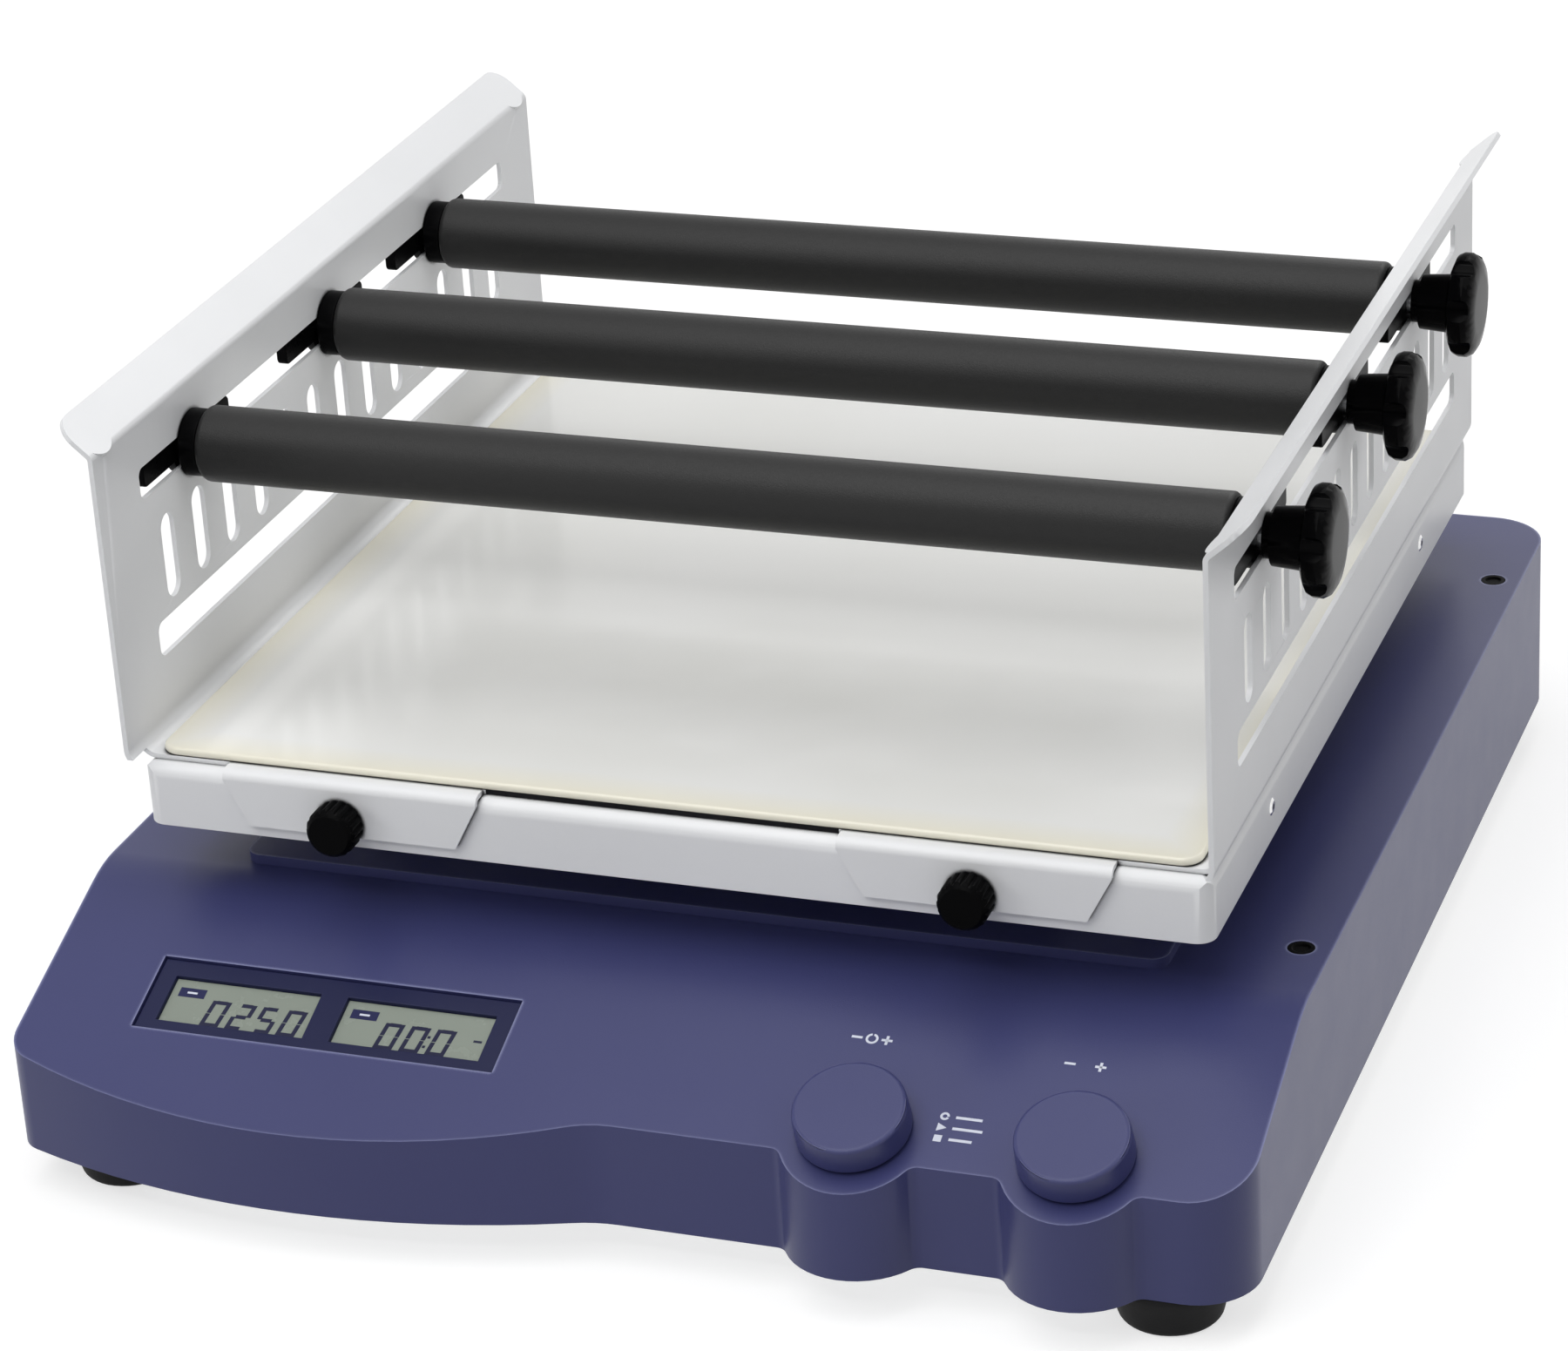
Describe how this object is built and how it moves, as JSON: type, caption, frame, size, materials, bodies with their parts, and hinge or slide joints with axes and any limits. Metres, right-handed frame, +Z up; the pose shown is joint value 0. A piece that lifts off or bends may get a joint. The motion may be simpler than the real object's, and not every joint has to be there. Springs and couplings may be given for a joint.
{
  "type": "orbital shaker",
  "caption": "Bench orbital shaker: sloped control panel with displays and push knobs, flat platform on cranks, slotted cradle with clamped cross bars",
  "frame": {"origin": "on the bench, under the middle of the housing's outline", "axes": "+Z up, +Y to the rear, away from the control panel, +X to the right as seen from the panel"},
  "size_m": [0.37, 0.426, 0.2213],
  "materials": {
    "housing_blue": "fine satin moulded plastic, dark violet blue",
    "zinc_steel": "zinc plated sheet steel",
    "rubber": "matt black rubber",
    "black_plastic": "black moulded plastic",
    "bezel_navy": "dark navy smooth plastic",
    "lcd_glass": "grey green liquid crystal glass over its backlight block",
    "board_green": "green circuit board",
    "dark_plastic": "dark grey plastic",
    "motor_black": "black painted steel can",
    "cast_grey": "grey painted casting",
    "bearing_steel": "ground bearing steel",
    "machined_steel": "turned steel",
    "cast_iron": "cast iron",
    "aluminium": "machined aluminium",
    "sheet_white": "white satin powder coat",
    "bright_screw": "bright nickel plate",
    "mat_cream": "glossy cream white non-slip mat",
    "foam_black": "black closed-cell foam sleeve",
    "gloss_black": "glossy black plastic"
  },
  "bodies": {
    "base": {"housing": "housing_blue", "base_plate": "zinc_steel", "feet": "rubber", "foot_screws": "zinc_steel", "case_screws": "zinc_steel", "hole_plugs": "black_plastic", "display_bezel": "bezel_navy", "lcd_modules": "lcd_glass", "panel_board": "board_green", "encoders": "dark_plastic", "main_board": "board_green", "power_supply": "zinc_steel", "power_inlet": "black_plastic", "motor_case": "motor_black", "spindle_block": "cast_grey", "spindle_bearings": "bearing_steel", "idler_blocks": "cast_grey", "idler_bearings": "bearing_steel", "drive_belt": "rubber"},
    "drive_crank": {"spindle": "machined_steel", "counterweight": "cast_iron", "driven_pulley": "aluminium"},
    "motor_rotor": {"motor_shaft": "machined_steel", "motor_pulley": "aluminium"},
    "platform": {"platform_tray": "sheet_white", "carrier_frame": "aluminium", "crank_bearing": "bearing_steel", "pin_bearings": "bearing_steel", "tray_screws": "bright_screw", "cradle": "sheet_white", "mat": "mat_cream", "thumb_nuts": "machined_steel"},
    "idler_1": {"idler_crank_1": "machined_steel"},
    "idler_2": {"idler_crank_2": "machined_steel"},
    "idler_3": {"idler_crank_3": "machined_steel"},
    "idler_4": {"idler_crank_4": "machined_steel"},
    "front_bar": {"front_rod": "machined_steel", "front_sleeve": "foam_black", "front_caps": "black_plastic", "front_guides": "black_plastic"},
    "front_clamp": {"front_clamp_knob": "gloss_black"},
    "middle_bar": {"middle_rod": "machined_steel", "middle_sleeve": "foam_black", "middle_caps": "black_plastic", "middle_guides": "black_plastic"},
    "middle_clamp": {"middle_clamp_knob": "gloss_black"},
    "rear_bar": {"rear_rod": "machined_steel", "rear_sleeve": "foam_black", "rear_caps": "black_plastic", "rear_guides": "black_plastic"},
    "rear_clamp": {"rear_clamp_knob": "gloss_black"},
    "thumb_left": {"thumb_screw_left": "black_plastic"},
    "thumb_right": {"thumb_screw_right": "black_plastic"},
    "speed_push": {"speed_plunger": "machined_steel"},
    "speed_turn": {"speed_shaft": "machined_steel", "speed_knob": "housing_blue"},
    "time_push": {"time_plunger": "machined_steel"},
    "time_turn": {"time_shaft": "machined_steel", "time_knob": "housing_blue"},
    "rocker": {"power_rocker": "black_plastic"}
  },
  "joints": [
    {"name": "drive_spin", "type": "hinge", "parent": "base", "child": "drive_crank", "pos_m": [0, 0.019, 0.06], "axis": [0, 0, 1], "continuous": true},
    {"name": "platform_counter", "type": "hinge", "parent": "drive_crank", "child": "platform", "pos_m": [0, 0.024, 0.1], "axis": [0, 0, 1], "continuous": true},
    {"name": "motor_spin", "type": "hinge", "parent": "base", "child": "motor_rotor", "pos_m": [0, 0.13, 0.05], "axis": [0, 0, 1], "continuous": true},
    {"name": "idler_spin_1", "type": "hinge", "parent": "base", "child": "idler_1", "pos_m": [-0.11, -0.081, 0.06], "axis": [0, 0, 1], "continuous": true},
    {"name": "idler_spin_2", "type": "hinge", "parent": "base", "child": "idler_2", "pos_m": [0.11, -0.081, 0.06], "axis": [0, 0, 1], "continuous": true},
    {"name": "idler_spin_3", "type": "hinge", "parent": "base", "child": "idler_3", "pos_m": [-0.11, 0.119, 0.06], "axis": [0, 0, 1], "continuous": true},
    {"name": "idler_spin_4", "type": "hinge", "parent": "base", "child": "idler_4", "pos_m": [0.11, 0.119, 0.06], "axis": [0, 0, 1], "continuous": true},
    {"name": "front_bar_slide", "type": "slide", "parent": "platform", "child": "front_bar", "axis": [0, 1, 0], "range_m": [-0.028, 0.017]},
    {"name": "front_clamp_turn", "type": "hinge", "parent": "front_bar", "child": "front_clamp", "pos_m": [0.181, -0.083, 0.1923], "axis": [1, 0, 0], "range_deg": [0, 360]},
    {"name": "middle_bar_slide", "type": "slide", "parent": "platform", "child": "middle_bar", "axis": [0, 1, 0], "range_m": [-0.017, 0.01]},
    {"name": "middle_clamp_turn", "type": "hinge", "parent": "middle_bar", "child": "middle_clamp", "pos_m": [0.181, 0.016, 0.1923], "axis": [1, 0, 0], "range_deg": [0, 360]},
    {"name": "rear_bar_slide", "type": "slide", "parent": "platform", "child": "rear_bar", "axis": [0, 1, 0], "range_m": [-0.01, 0.05]},
    {"name": "rear_clamp_turn", "type": "hinge", "parent": "rear_bar", "child": "rear_clamp", "pos_m": [0.181, 0.0995, 0.1923], "axis": [1, 0, 0], "range_deg": [0, 360]},
    {"name": "thumb_left_turn", "type": "hinge", "parent": "platform", "child": "thumb_left", "pos_m": [-0.0978, -0.145, 0.1018], "axis": [0, -1, 0], "range_deg": [0, 360]},
    {"name": "thumb_right_turn", "type": "hinge", "parent": "platform", "child": "thumb_right", "pos_m": [0.0935, -0.145, 0.1018], "axis": [0, -1, 0], "range_deg": [0, 360]},
    {"name": "speed_press", "type": "slide", "parent": "base", "child": "speed_push", "axis": [0, 0.3567, -0.9342], "range_m": [0, 0.0008], "stiffness_N_per_m": 1500, "springref_m": -0.0012},
    {"name": "speed_knob_turn", "type": "hinge", "parent": "speed_push", "child": "speed_turn", "pos_m": [0.0723, -0.1863, 0.04974], "axis": [0, -0.3567, 0.9342], "continuous": true},
    {"name": "time_press", "type": "slide", "parent": "base", "child": "time_push", "axis": [0, 0.3567, -0.9342], "range_m": [0, 0.0008], "stiffness_N_per_m": 1500, "springref_m": -0.0012},
    {"name": "time_knob_turn", "type": "hinge", "parent": "time_push", "child": "time_turn", "pos_m": [0.1359, -0.1863, 0.04974], "axis": [0, -0.3567, 0.9342], "continuous": true},
    {"name": "rocker_tilt", "type": "hinge", "parent": "base", "child": "rocker", "pos_m": [-0.0975, 0.2074, 0.042], "axis": [-1, 0, 0], "range_deg": [0, 16]}
  ],
  "couplings": [
    {"joint": "platform_counter", "follows": "drive_spin", "ratio": -1},
    {"joint": "motor_spin", "follows": "drive_spin", "ratio": 3},
    {"joint": "idler_spin_1", "follows": "drive_spin", "ratio": 1},
    {"joint": "idler_spin_2", "follows": "drive_spin", "ratio": 1},
    {"joint": "idler_spin_3", "follows": "drive_spin", "ratio": 1},
    {"joint": "idler_spin_4", "follows": "drive_spin", "ratio": 1}
  ]
}
